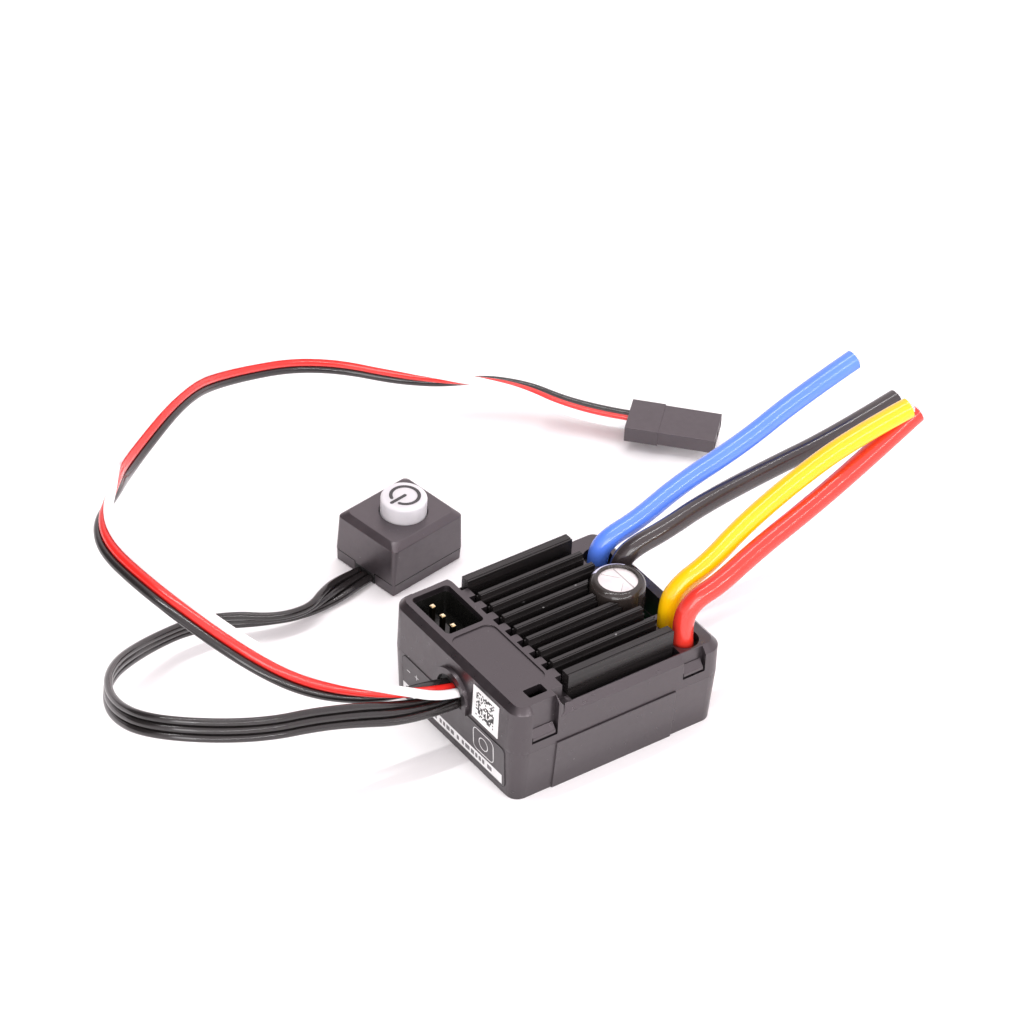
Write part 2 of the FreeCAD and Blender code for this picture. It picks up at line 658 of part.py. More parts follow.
def power_button():
    """Translucent cap with a rounded rim and a retaining flange."""
    straight = cylinder(BUTTON_RADIUS, (BUTTON_FLANGE[0], BUTTON_TOP - 0.5))
    rim = Part.makeCone(BUTTON_RADIUS, BUTTON_RADIUS - 0.35, 0.35, V(0, 0, BUTTON_TOP - 0.5), UP)
    crown = Part.makeCone(BUTTON_RADIUS - 0.35, BUTTON_RADIUS - 1.3, 0.15, V(0, 0, BUTTON_TOP - 0.15), UP)
    flange = cylinder(BUTTON_FLANGE_RADIUS, BUTTON_FLANGE)
    return at_button(straight.fuse([rim, crown, flange]).removeSplitter())


def button_symbol():
    """Power symbol, a broken ring with a bar through its gap, printed on the button."""
    z_range = (BUTTON_TOP, BUTTON_TOP + 0.05)
    ring = cylinder(SYMBOL_RADIUS, z_range).cut(cylinder(SYMBOL_RADIUS - SYMBOL_STROKE, z_range))
    gap = box((-0.75, 0.75), (-3, 0), z_range)
    bar = box((-SYMBOL_STROKE / 2, SYMBOL_STROKE / 2), (-2.9, 0.15), z_range)
    symbol = Part.makeCompound([ring.cut(gap), bar])
    return at_button(placed(symbol, SYMBOL_SHIFT + (0,), 0))


PIECES = {
    "lower_shell": lower_shell,
    "top_cover": top_cover,
    "heatsink": heatsink,
    "heatsink_seal": heatsink_seal,
    "thermal_pad": thermal_pad,
    "circuit_board": circuit_board,
    "power_transistors": power_transistors,
    "controller_chip": controller_chip,
    "voltage_regulator": voltage_regulator,
    "ceramic_capacitors": ceramic_capacitors,
    "solder_pads": solder_pads,
    "lead_tails": lead_tails,
    "capacitor_can": capacitor_can,
    "capacitor_sleeve": capacitor_sleeve,
    "capacitor_bung": capacitor_bung,
    "capacitor_legs": capacitor_legs,
    "program_header": program_header,
    "program_pins": program_pins,
    "exit_grommet": exit_grommet,
    "front_label": front_label,
    "code_label": code_label,
    "lead_seal_left": lambda: lead_seal(("blue", "black")),
    "lead_seal_right": lambda: lead_seal(("yellow", "red")),
    "power_lead_blue": lambda: power_lead("blue"),
    "power_lead_black": lambda: power_lead("black"),
    "power_lead_yellow": lambda: power_lead("yellow"),
    "power_lead_red": lambda: power_lead("red"),
    "lead_tips": lead_tips,
    "receiver_lead": lambda: tube_along(RECEIVER_ROUTE, RIBBON_TUBE_RADIUS, "receiver_lead"),
    "plug_housing": plug_housing,
    "plug_contacts": plug_contacts,
    "switch_lead": lambda: tube_along(SWITCH_ROUTE, RIBBON_TUBE_RADIUS, "switch_lead"),
    "switch_cover": switch_cover,
    "switch_base": switch_base,
    "switch_grommet": switch_grommet,
    "switch_posts": switch_posts,
    "switch_board": switch_board,
    "switch_lamps": switch_lamps,
    "tactile_body": tactile_body,
    "tactile_plunger": tactile_plunger,
    "power_button": power_button,
    "button_symbol": button_symbol,
}

os.makedirs("parts", exist_ok=True)
for node, make in PIECES.items():
    shape = make()
    if not shape.isValid():
        print(f"{node}: not valid")
    shape.exportStep(f"parts/{node}.step")
    print(f"{node}: {len(shape.Solids)} solids, {shape.Volume:.2f} mm3")
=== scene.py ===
"""Looks of the electronic speed controller: finned case, power leads, receiver lead and power switch.

Lengths are in metres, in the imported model's frame: the origin is the centre of the case's bottom
face, +Z is up and +Y runs from the low-current leads to the power leads.
"""
import math
import random

import bmesh
import bpy
from mathutils import Matrix, Vector


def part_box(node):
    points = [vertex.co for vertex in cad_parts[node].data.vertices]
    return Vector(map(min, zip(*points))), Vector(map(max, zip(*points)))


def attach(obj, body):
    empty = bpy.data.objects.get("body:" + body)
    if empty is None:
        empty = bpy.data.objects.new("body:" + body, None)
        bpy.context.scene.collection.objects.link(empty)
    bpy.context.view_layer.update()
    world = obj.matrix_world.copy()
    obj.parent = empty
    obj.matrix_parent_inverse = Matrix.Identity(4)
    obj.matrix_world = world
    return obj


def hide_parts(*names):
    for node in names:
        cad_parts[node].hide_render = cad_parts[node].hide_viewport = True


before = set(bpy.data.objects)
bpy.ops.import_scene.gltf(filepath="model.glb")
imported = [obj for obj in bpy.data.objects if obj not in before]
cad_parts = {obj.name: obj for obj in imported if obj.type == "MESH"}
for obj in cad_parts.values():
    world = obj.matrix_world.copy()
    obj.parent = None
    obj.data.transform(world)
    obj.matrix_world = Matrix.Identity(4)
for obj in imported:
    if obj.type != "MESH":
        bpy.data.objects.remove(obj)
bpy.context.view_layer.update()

MM = 0.001
UP = Vector((0, 0, 1))
SAME_PLACE = 0.000002              # points closer than this are one point

# camera
CAMERA_AZIMUTH = math.radians(52.57)
CAMERA_ELEVATION = math.radians(38.2)
CAMERA_ROLL = math.radians(3.39)
CAMERA_DISTANCE = 0.7615
CAMERA_SHIFT_RIGHT = -0.00597      # of the aim point, in the picture plane through the origin
CAMERA_SHIFT_UP = 0.0275
LENS = 184.66
SENSOR = 36.0

# light
AIM = (-0.01, 0.01, 0.01)          # what the lights point at
ALONG_LEADS = (0, 1, 0.35)
DARK_SIDE = (-0.62, -0.62, 0.48)   # where the surroundings are dark
SKY_COLOUR = (1.0, 0.915, 0.945, 1)
SKY_STRENGTH = 1.36
DARK_STRENGTH = 0.15

# power leads
LEAD_RADIUS = 0.00155
STRAND_RADIUS = 0.00013
STRAND_SPACING = 2.02 * STRAND_RADIUS
STRAND_RINGS = 3
STRAND_UNEVENNESS = 0.00012
STRAND_ROOT = 0.001                # how far a strand reaches back inside the lead
TIP_LENGTH = 0.0006                # how far it stands out of the lead
POWER_LEAD_ROUTES = {
    "blue": [
        (-0.0096, 0.014, 0.0128), (-0.0097, 0.0139, 0.0153), (-0.0093, 0.0155, 0.0176),
        (-0.0087, 0.0202, 0.0193), (-0.0095, 0.028, 0.022), (-0.009, 0.039, 0.0255),
        (-0.0095, 0.0495, 0.0295), (-0.0095, 0.0595, 0.0325),
    ],
    "black": [
        (-0.0055, 0.0148, 0.0128), (-0.0056, 0.0147, 0.0156), (-0.0048, 0.0164, 0.0184),
        (-0.0043, 0.0217, 0.0197), (-0.0055, 0.0295, 0.0205), (-0.006, 0.0415, 0.0215),
        (-0.006, 0.054, 0.0225), (-0.0065, 0.066, 0.0245),
    ],
    "yellow": [
        (0.0076, 0.014, 0.0128), (0.0074, 0.0137, 0.0172), (0.008, 0.0153, 0.0208),
        (0.0088, 0.0195, 0.0234), (0.008, 0.026, 0.027), (0.008, 0.035, 0.0315),
        (0.0085, 0.0445, 0.0355), (0.0095, 0.054, 0.038),
    ],
    "red": [
        (0.012, 0.0135, 0.0128), (0.0116, 0.0131, 0.0176), (0.0122, 0.0146, 0.0212),
        (0.0128, 0.0185, 0.0228), (0.0115, 0.026, 0.025), (0.0105, 0.0365, 0.028),
        (0.0095, 0.0465, 0.0315), (0.0085, 0.0565, 0.0355),
    ],
}

# case, for the print on its front
HALF_LENGTH = 0.0183
PARTING_Z = 0.0088
DRAFT = 0.0006

# program port
PORT_X = (-0.0137, -0.0043)
PORT_Y = (-0.0164, -0.00995)

# remote switch
SWITCH_TURN = math.radians(9.5)
SWITCH_HALF_X = 0.00625
SWITCH_HALF_Y = 0.0071
SWITCH_CORNER = 0.0004
SEAM_Z = 0.0021
SEAM_WIDTH = 0.00011
SEAM_DEPTH = 0.00003
TAB_HALF = 0.0021                  # the tab closes the slot that the lead comes out of
TAB_LOW = 0.0018
BUTTON_RADIUS = 0.0035
FLANGE_THICK = 0.0008
SYMBOL_RADIUS = 0.00212            # middle of the stroke
SYMBOL_STROKE = 0.00052
SYMBOL_BAR = 0.00275
SYMBOL_GAP = 23                    # half of the ring's gap, in degrees
SYMBOL_SHIFT = 0.0002

# ribbon leads: routes, and how each ribbon is rolled about its route.  A roll key is the fraction of
# the length and the angle, in degrees, from straight up towards the left of the way it runs.
RECEIVER_ROUTE = [
    (0.0002, -0.0184, 0.01115), (0.0002, -0.025, 0.0127), (-0.0045, -0.0375, 0.016),
    (-0.01, -0.0455, 0.021), (-0.0255, -0.0525, 0.0265), (-0.0405, -0.0525, 0.026),
    (-0.05, -0.0435, 0.025), (-0.061, -0.035, 0.018), (-0.0725, -0.0175, 0.017),
    (-0.0785, -0.006, 0.012), (-0.078, 0.01, 0.009), (-0.0665, 0.022, 0.0075),
    (-0.0595, 0.034, 0.0065), (-0.0512, 0.0412, 0.0032), (-0.0454, 0.0467, 0.0032),
]
RECEIVER_ROLL = [
    (0.0, 270), (0.02, 262), (0.045, 225), (0.09, 175), (0.14, 148), (0.2, 128), (0.29, 130),
    (0.34, 145), (0.38, 170), (0.43, 200), (0.5, 212), (0.59, 195), (0.68, 182), (0.78, 175),
    (0.83, 160), (0.865, 129), (0.9, 105), (0.95, 92), (1.0, 90),
]
RECEIVER_PITCH = 0.00136
RECEIVER_RADIUS = 0.0007
SWITCH_ROUTE = [
    (0.0009, -0.0184, 0.0096), (0.0012, -0.025, 0.0101), (-0.0007, -0.0385, 0.0143),
    (-0.0015, -0.051, 0.0165), (-0.009, -0.0635, 0.0175), (-0.0195, -0.0635, 0.0135),
    (-0.029, -0.058, 0.0105), (-0.036, -0.0475, 0.006), (-0.0385, -0.0355, 0.004),
    (-0.033, -0.023, 0.0025), (-0.036, -0.014, 0.002), (-0.038, -0.0072, 0.0009),
]
SWITCH_ROLL = [
    (0.0, 270), (0.05, 285), (0.12, 325), (0.2, 338), (0.34, 338), (0.46, 350), (0.55, 356),
    (0.7, 345), (0.8, 340), (0.87, 328), (0.92, 372), (0.96, 425), (1.0, 450),
]
SWITCH_PITCH = 0.00118
SWITCH_RADIUS = 0.0006


# ---- camera, light and floor ----

def place_camera():
    right = Vector((math.cos(CAMERA_AZIMUTH), math.sin(CAMERA_AZIMUTH), 0))
    back = Vector((
        math.sin(CAMERA_AZIMUTH) * math.cos(CAMERA_ELEVATION),
        -math.cos(CAMERA_AZIMUTH) * math.cos(CAMERA_ELEVATION),
        math.sin(CAMERA_ELEVATION),
    ))
    up = back.cross(right)
    rolled_right = right * math.cos(CAMERA_ROLL) + up * math.sin(CAMERA_ROLL)
    rolled_up = up * math.cos(CAMERA_ROLL) - right * math.sin(CAMERA_ROLL)
    data = bpy.data.cameras.new("camera")
    data.lens = LENS
    data.sensor_width = SENSOR
    data.clip_end = 10
    camera = bpy.data.objects.new("camera", data)
    bpy.context.scene.collection.objects.link(camera)
    turn = Matrix((rolled_right, rolled_up, back)).transposed().to_4x4()
    place = rolled_right * CAMERA_SHIFT_RIGHT + rolled_up * CAMERA_SHIFT_UP + back * CAMERA_DISTANCE
    camera.matrix_world = Matrix.Translation(place) @ turn
    bpy.context.scene.camera = camera


def soft_light(name, direction, distance, size, radiance, along=(0, 0, 1)):
    """Evenly bright rectangle facing the object; its long side runs in the direction "along"."""
    back = Vector(direction).normalized()
    data = bpy.data.lights.new(name, "AREA")
    data.shape = "RECTANGLE"
    data.size, data.size_y = size
    data.energy = math.pi * size[0] * size[1] * radiance
    light = bpy.data.objects.new(name, data)
    bpy.context.scene.collection.objects.link(light)
    side = Vector(along) - back * back.dot(Vector(along))
    side.normalize()
    turn = Matrix((side, back.cross(side), back)).transposed().to_4x4()
    light.matrix_world = Matrix.Translation(Vector(AIM) + back * distance) @ turn


def studio_world():
    """Bright pink-white surroundings with a dark area low in front, which the front bevels mirror."""
    world = bpy.data.worlds.new("studio")
    world.use_nodes = True
    tree = world.node_tree
    direction = tree.nodes.new("ShaderNodeTexCoord")
    facing = tree.nodes.new("ShaderNodeVectorMath")
    facing.operation = "DOT_PRODUCT"
    facing.inputs[1].default_value = DARK_SIDE
    tree.links.new(direction.outputs["Generated"], facing.inputs[0])
    strength = remap(tree, facing.outputs["Value"], (0.6, 0.9), (SKY_STRENGTH, DARK_STRENGTH))
    background = tree.nodes["Background"]
    background.inputs["Color"].default_value = SKY_COLOUR
    tree.links.new(strength, background.inputs["Strength"])
    bpy.context.scene.world = world


def light_the_scene():
    """Soft light from all round, with narrow strips that draw streaks along the leads."""
    studio_world()
    soft_light("low_front", (0.55, -0.55, 0.22), 0.9, (0.7, 0.35), 4.2)
    soft_light("high_strip", (-0.10, -0.05, 0.80), 0.8, (0.9, 0.02), 45, ALONG_LEADS)
    soft_light("right_strip", (0.75, -0.10, 0.42), 0.8, (0.9, 0.018), 45, ALONG_LEADS)
    bpy.context.scene.view_settings.view_transform = "Standard"
    bpy.context.scene.view_settings.look = "None"


def make_floor():
    half = 2.0
    mesh = bpy.data.meshes.new("floor")
    corners = [(-half, -half, 0), (half, -half, 0), (half, half, 0), (-half, half, 0)]
    mesh.from_pydata(corners, [], [(0, 1, 2, 3)])
    floor = bpy.data.objects.new("floor", mesh)
    bpy.context.scene.collection.objects.link(floor)
    material, tree, shader = new_material("pale_floor")
    set_variation(tree, shader, (0.93, 0.93, 0.93), (0.96, 0.96, 0.96), 30)
    shader.inputs["Roughness"].default_value = 0.7
    shader.inputs["Specular IOR Level"].default_value = 0.1
    mesh.materials.append(material)


# ---- material building blocks ----

def new_material(name):
    material = bpy.data.materials.new(name)
    material.use_nodes = True
    tree = material.node_tree
    return material, tree, tree.nodes["Principled BSDF"]


def noise(tree, scale, detail=2.0, stretch=(1, 1, 1)):
    """Noise in the model's own coordinates, about one feature per 1 / scale metres."""
    coordinates = tree.nodes.new("ShaderNodeTexCoord")
    mapping = tree.nodes.new("ShaderNodeMapping")
    mapping.inputs["Scale"].default_value = stretch
    texture = tree.nodes.new("ShaderNodeTexNoise")
    texture.inputs["Scale"].default_value = scale
    texture.inputs["Detail"].default_value = detail
    tree.links.new(coordinates.outputs["Object"], mapping.inputs["Vector"])
    tree.links.new(mapping.outputs["Vector"], texture.inputs["Vector"])
    return texture.outputs["Fac"]


def remap(tree, value, old, new):
    """Value moved from one range to another, and kept inside the new one."""
    node = tree.nodes.new("ShaderNodeMapRange")
    node.inputs["From Min"].default_value = old[0]
    node.inputs["From Max"].default_value = old[1]
    node.inputs["To Min"].default_value = new[0]
    node.inputs["To Max"].default_value = new[1]
    tree.links.new(value, node.inputs["Value"])
    return node.outputs["Result"]


def blend_colours(tree, factor, first, second):
    """Mix of two colours, each a plain colour or another node's output."""
    node = tree.nodes.new("ShaderNodeMix")
    node.data_type = "RGBA"
    tree.links.new(factor, node.inputs["Factor"])
    for value, socket in ((first, node.inputs[6]), (second, node.inputs[7])):
        if isinstance(value, tuple):
            socket.default_value = value + (1,)
        else:
            tree.links.new(value, socket)
    return node.outputs[2]


def set_variation(tree, shader, low, high, scale, stretch=(1, 1, 1)):
    """Base colour that wanders between two close colours."""
    factor = remap(tree, noise(tree, scale, 4, stretch), (0.35, 0.65), (0, 1))
    colour = blend_colours(tree, factor, low, high)
    tree.links.new(colour, shader.inputs["Base Color"])
    return colour


def set_roughness(tree, shader, low, high, scale, stretch=(1, 1, 1)):
    """Roughness that wanders between two values."""
    value = remap(tree, noise(tree, scale, 3, stretch), (0.3, 0.7), (low, high))
    tree.links.new(value, shader.inputs["Roughness"])


def set_bump(tree, shader, depth, scale, stretch=(1, 1, 1), detail=2.0):
    """Fine unevenness of the surface, with its depth in metres."""
    node = tree.nodes.new("ShaderNodeBump")
    node.inputs["Strength"].default_value = 1.0
    node.inputs["Distance"].default_value = depth
    tree.links.new(noise(tree, scale, detail, stretch), node.inputs["Height"])
    tree.links.new(node.outputs["Normal"], shader.inputs["Normal"])


def add_dust(tree, shader, colour, scale=2600.0, threshold=0.80, strength=0.4):
    """A few pale specks over the base colour."""
    specks = remap(tree, noise(tree, scale, 1.0), (threshold, threshold + 0.03), (0, strength))
    dusted = blend_colours(tree, specks, colour, (0.6, 0.6, 0.6))
    tree.links.new(dusted, shader.inputs["Base Color"])


# ---- materials ----

def moulded_plastic(name, shade, roughness, grain):
    """Black moulded plastic with a fine spark-eroded grain."""
    material, tree, shader = new_material(name)
    low = (shade, shade * 0.82, shade * 0.93)
    high = (shade * 1.14, shade * 0.94, shade * 1.06)
    colour = set_variation(tree, shader, low, high, 250)
    add_dust(tree, shader, colour)
    set_roughness(tree, shader, roughness - 0.05, roughness + 0.06, 900)
    set_bump(tree, shader, grain, 7000, detail=1.0)
    shader.inputs["Specular IOR Level"].default_value = 1.0
    shader.inputs["Specular Tint"].default_value = (1.0, 0.90, 0.95, 1)
    return material


def anodised_metal():
    """Black anodised heatsink, brushed along its fins."""
    material, tree, shader = new_material("black_anodised")
    along_fins = (1, 0.03, 1)
    colour = set_variation(tree, shader, (0.009, 0.008, 0.008), (0.015, 0.013, 0.013), 2500, along_fins)
    add_dust(tree, shader, colour, 700.0, 0.78)
    set_roughness(tree, shader, 0.24, 0.36, 3000, along_fins)
    set_bump(tree, shader, 0.0000015, 4000, along_fins)
    shader.inputs["Specular IOR Level"].default_value = 0.42
    return material


def silicone(name, colour):
    """Soft glossy wire insulation."""
    material, tree, shader = new_material(name)
    darker = tuple(c * 0.96 for c in colour)
    base = set_variation(tree, shader, darker, colour, 90)
    add_dust(tree, shader, base, 2800.0, 0.82, 0.3)
    set_roughness(tree, shader, 0.14, 0.19, 90)
    set_bump(tree, shader, 0.0000015, 120)
    shader.inputs["Specular IOR Level"].default_value = 0.65
    shader.inputs["Subsurface Weight"].default_value = 0.08
    shader.inputs["Subsurface Radius"].default_value = (0.001, 0.0006, 0.0005)
    shader.inputs["Subsurface Scale"].default_value = 0.6
    return material


def bright_metal(name, colour, roughness, scale=6000):
    material, tree, shader = new_material(name)
    darker = tuple(c * 0.82 for c in colour)
    set_variation(tree, shader, darker, colour, scale)
    set_roughness(tree, shader, roughness - 0.06, roughness + 0.08, scale)
    set_bump(tree, shader, 0.000003, scale)
    shader.inputs["Metallic"].default_value = 1.0
    return material


def soft_rubber(name, shade):
    material, tree, shader = new_material(name)
    set_variation(tree, shader, (shade, shade, shade), (shade * 1.5, shade * 1.5, shade * 1.5), 900)
    set_roughness(tree, shader, 0.55, 0.75, 2000)
    set_bump(tree, shader, 0.00001, 5000)
    return material


def milky_plastic():
    """Translucent white button plastic."""
    material, tree, shader = new_material("milky_plastic")
    set_variation(tree, shader, (0.60, 0.59, 0.61), (0.65, 0.64, 0.66), 200)
    set_roughness(tree, shader, 0.28, 0.4, 900)
    set_bump(tree, shader, 0.000004, 6000)
    shader.inputs["Subsurface Weight"].default_value = 0.5
    shader.inputs["Subsurface Radius"].default_value = (0.0016, 0.0017, 0.0018)
    shader.inputs["Subsurface Scale"].default_value = 1.0
    return material


def plain_surface(name, colour, roughness):
    """Printed, painted or moulded surface without a grain to speak of."""
    material, tree, shader = new_material(name)
    darker = tuple(c * 0.85 for c in colour)
    set_variation(tree, shader, darker, colour, 500)
    set_roughness(tree, shader, roughness - 0.05, roughness + 0.05, 1000)
    set_bump(tree, shader, 0.000003, 4000)
    return material


def clear_lens():
    material, tree, shader = new_material("clear_lens")
    set_variation(tree, shader, (0.85, 0.88, 0.85), (0.95, 0.97, 0.95), 500)
    set_roughness(tree, shader, 0.08, 0.16, 800)
    shader.inputs["Transmission Weight"].default_value = 0.8
    return material


def make_materials():
    return {
        "case": moulded_plastic("case_black", 0.011, 0.32, 0.000003),
        "switch": moulded_plastic("switch_black", 0.026, 0.36, 0.0000055),
        "plug": moulded_plastic("plug_black", 0.030, 0.42, 0.000003),
        "heatsink": anodised_metal(),
        "rubber": soft_rubber("black_rubber", 0.012),
        "pad": soft_rubber("grey_pad", 0.3),
        "blue": silicone("silicone_blue", (0.10, 0.235, 0.88)),
        "black": silicone("silicone_black", (0.034, 0.027, 0.028)),
        "yellow": silicone("silicone_yellow", (0.90, 0.51, 0.002)),
        "red": silicone("silicone_red", (0.64, 0.034, 0.022)),
        "wire_white": silicone("wire_white", (0.93, 0.93, 0.93)),
        "wire_red": silicone("wire_red", (0.7, 0.02, 0.015)),
        "wire_black": silicone("wire_black", (0.014, 0.012, 0.012)),
        "tinned": bright_metal("tinned_copper", (0.78, 0.78, 0.79), 0.3),
        "can": bright_metal("capacitor_aluminium", (0.86, 0.82, 0.82), 0.5, 300),
        # painted_shade_gold: the pins' gold darkened as painted shade, for the shafts down in the port
        "painted_shade_gold": bright_metal("shaded_gold", (0.018, 0.014, 0.009), 0.5),
        "gold": bright_metal("gold_plating", (1.0, 0.84, 0.58), 0.35),
        "sleeve": plain_surface("shrink_sleeve", (0.026, 0.021, 0.019), 0.14),
        "stripe": plain_surface("sleeve_stripe", (0.72, 0.72, 0.92), 0.3),
        # painted_shade: near-black painted shade, for the port's deep walls, the switch's seam and the
        # label's edge
        "painted_shade": plain_surface("painted_shade_black", (0.008, 0.008, 0.007), 0.25),
        "board": plain_surface("board_green", (0.02, 0.16, 0.06), 0.35),
        "chip": plain_surface("chip_black", (0.02, 0.02, 0.022), 0.5),
        "ceramic": plain_surface("ceramic_tan", (0.5, 0.36, 0.22), 0.4),
        "score": plain_surface("vent_score", (0.42, 0.4, 0.4), 0.4),
        "grey_ink": plain_surface("label_grey_ink", (0.16, 0.155, 0.16), 0.5),
        "film": plain_surface("label_film", (0.058, 0.051, 0.055), 0.36),
        "ink": plain_surface("label_ink", (0.8, 0.8, 0.8), 0.45),
        "paper": plain_surface("label_paper", (0.86, 0.86, 0.85), 0.55),
        "dots": plain_surface("label_dots", (0.03, 0.03, 0.03), 0.5),
        "milky": milky_plastic(),
        "symbol": plain_surface("symbol_grey", (0.045, 0.042, 0.045), 0.5),
        "lens": clear_lens(),
    }


# ---- geometry helpers ----

def add_piece(name, vertices, faces, materials, body="controller", replaces=(), smooth=40):
    """Mesh piece that rides on a body.  faces may be (indices) or (indices, material number)."""
    mesh = bpy.data.meshes.new(name)
    plain = [f[0] if isinstance(f[0], (tuple, list)) else f for f in faces]
    mesh.from_pydata([tuple(v) for v in vertices], [], plain)
    for face, polygon in zip(faces, mesh.polygons):
        if isinstance(face[0], (tuple, list)):
            polygon.material_index = face[1]
    piece = bpy.data.objects.new(name, mesh)
    return finish_piece(piece, materials, body, replaces, smooth)


def finish_piece(piece, materials, body, replaces, smooth):
    bpy.context.scene.collection.objects.link(piece)
    for material in materials:
        piece.data.materials.append(LOOKS[material])
    piece.data.shade_smooth()
    piece.data.set_sharp_from_angle(angle=math.radians(smooth))
    if replaces:
        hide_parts(*replaces)
    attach(piece, body)
    return piece


def rounded_copy(node, radius, material):
    """Piece with the shape of a CAD node, its sharp edges rounded."""
    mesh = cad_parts[node].data.copy()
    mesh.name = node + "_rounded"
    mesh.materials.clear()
    shape = bmesh.new()
    shape.from_mesh(mesh)
    bmesh.ops.remove_doubles(shape, verts=shape.verts, dist=SAME_PLACE)
    bmesh.ops.dissolve_limit(
        shape, angle_limit=math.radians(0.6), verts=shape.verts, edges=shape.edges)
    shape.to_mesh(mesh)
    shape.free()
    draft = bpy.data.objects.new(node + "_draft", mesh)
    bpy.context.scene.collection.objects.link(draft)
    bevel = draft.modifiers.new("edges", "BEVEL")
    bevel.width = radius
    bevel.segments = 2
    bevel.limit_method = "ANGLE"
    bevel.angle_limit = math.radians(28)
    bevel.miter_outer = "MITER_ARC"
    normals = draft.modifiers.new("normals", "WEIGHTED_NORMAL")
    normals.keep_sharp = True
    bpy.context.view_layer.update()
    evaluated = draft.evaluated_get(bpy.context.evaluated_depsgraph_get())
    result = bpy.data.meshes.new_from_object(evaluated)
    bpy.data.objects.remove(draft)
    piece = bpy.data.objects.new(node + "_rounded", result)
    bpy.context.scene.collection.objects.link(piece)
    piece.data.materials.clear()
    piece.data.materials.append(LOOKS[material])
    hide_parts(node)
    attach(piece, "controller")
    return piece


def arc(centre, radius, start, end, steps=6):
    """Points along an arc, with angles in degrees."""
    turns = [math.radians(start + (end - start) * step / steps) for step in range(steps + 1)]
    return [(centre[0] + radius * math.cos(t), centre[1] + radius * math.sin(t)) for t in turns]


def lathe(profile, centre, closed=False, sides=96):
    """Vertices and faces of a profile of (radius, z) points turned about an upright axis.

    A profile that isn't closed gets a flat face at each end.
    """
    vertices = []
    for radius, z in profile:
        for step in range(sides):
            turn = 2 * math.pi * step / sides
            vertices.append((
                centre[0] + radius * math.cos(turn), centre[1] + radius * math.sin(turn), z))
    rows = len(profile)
    faces = []
    for row in range(rows if closed else rows - 1):
        below = row * sides
        above = (row + 1) % rows * sides
        for step in range(sides):
            after = (step + 1) % sides
            faces.append((below + step, below + after, above + after, above + step))
    if not closed:
        faces.append(tuple(reversed(range(sides))))
        faces.append(tuple((rows - 1) * sides + step for step in range(sides)))
    return vertices, faces


def stroke_outline(line, width):
    """Closed outline of a pen stroke with round ends along a line of (u, v) points."""
    half = width / 2
    left = []
    right = []
    for index, point in enumerate(line):
        before = Vector(line[max(index - 1, 0)])
        after = Vector(line[min(index + 1, len(line) - 1)])
        along = (after - before).normalized()
        side = Vector((-along.y, along.x)) * half
        left.append(Vector(point) + side)
        right.append(Vector(point) - side)
    end_cap = round_cap(line[-2], line[-1], half)
    start_cap = round_cap(line[1], line[0], half)
    return right + end_cap + left[::-1] + start_cap


def round_cap(before, end, half, steps=6):
    """Points of the half circle that closes a stroke past its end."""
    heading = math.atan2(end[1] - before[1], end[0] - before[0])
    points = []
    for step in range(1, steps):
        turn = heading - math.pi / 2 + math.pi * step / steps
        points.append(Vector((end[0] + half * math.cos(turn), end[1] + half * math.sin(turn))))
    return points


def rounded_rectangle(left, right, low, high, radius, steps=6):
    """Outline of a rectangle with round corners, anticlockwise."""
    corners = [
        (right - radius, low + radius, -90), (right - radius, high - radius, 0),
        (left + radius, high - radius, 90), (left + radius, low + radius, 180),
    ]
    points = []
    for u, v, start in corners:
        for step in range(steps + 1):
            turn = math.radians(start + 90 * step / steps)
            points.append(Vector((u + radius * math.cos(turn), v + radius * math.sin(turn))))
    return points


class Print:
    """Thin flat shapes laid on a surface, gathered into one piece.

    The surface is a function that turns (u, v, height above it) into a place.
    """

    def __init__(self, surface):
        self.surface = surface
        self.vertices = []
        self.faces = []

    def shape(self, outline, low, high):
        """Slab with the given outline, between two heights above the surface."""
        first = len(self.vertices)
        count = len(outline)
        for height in (low, high):
            self.vertices += [self.surface(u, v, height) for u, v in outline]
        self.faces.append(tuple(first + count + i for i in range(count)))
        self.faces.append(tuple(first + i for i in reversed(range(count))))
        for i in range(count):
            after = (i + 1) % count
            self.faces.append((first + i, first + after, first + count + after, first + count + i))

    def stroke(self, line, width, low, high):
        self.shape(stroke_outline(line, width), low, high)

    def ring(self, outline, width, low, high):
        """Line of even width drawn round a closed outline."""
        for index, point in enumerate(outline):
            after = outline[(index + 1) % len(outline)]
            if (Vector(after) - Vector(point)).length > SAME_PLACE / 2:
                self.stroke([tuple(point), tuple(after)], width, low, high)

    def piece(self, name, material, slot, body="controller", replaces=()):
        return add_piece(
            name, self.vertices, self.faces, [material], body=body, replaces=replaces)


def centreline(points):
    """Points along the smooth line of a route, read from its NURBS spline."""
    curve = route_curve("route", points)
    holder = bpy.data.objects.new("route", curve)
    bpy.context.scene.collection.objects.link(holder)
    bpy.context.view_layer.update()
    evaluated = holder.evaluated_get(bpy.context.evaluated_depsgraph_get())
    line = bpy.data.meshes.new_from_object(evaluated)
    path = [v.co.copy() for v in line.vertices]
    bpy.data.objects.remove(holder)
    bpy.data.meshes.remove(line)
    return path


def route_curve(name, points):
    """Curve with one NURBS spline through a route's control points."""
    curve = bpy.data.curves.new(name, "CURVE")
    curve.dimensions = "3D"
    curve.resolution_u = 32
    spline = curve.splines.new("NURBS")
    spline.points.add(len(points) - 1)
    for control, place in zip(spline.points, points):
        control.co = (*place, 1)
    spline.order_u = 3
    spline.use_endpoint_u = True
    return curve


def fractions(path):
    """How far along the path each of its points is, from 0 to 1."""
    done = 0.0
    values = [0.0]
    for a, b in zip(path, path[1:]):
        done += (b - a).length
        values.append(done)
    return [value / done for value in values]


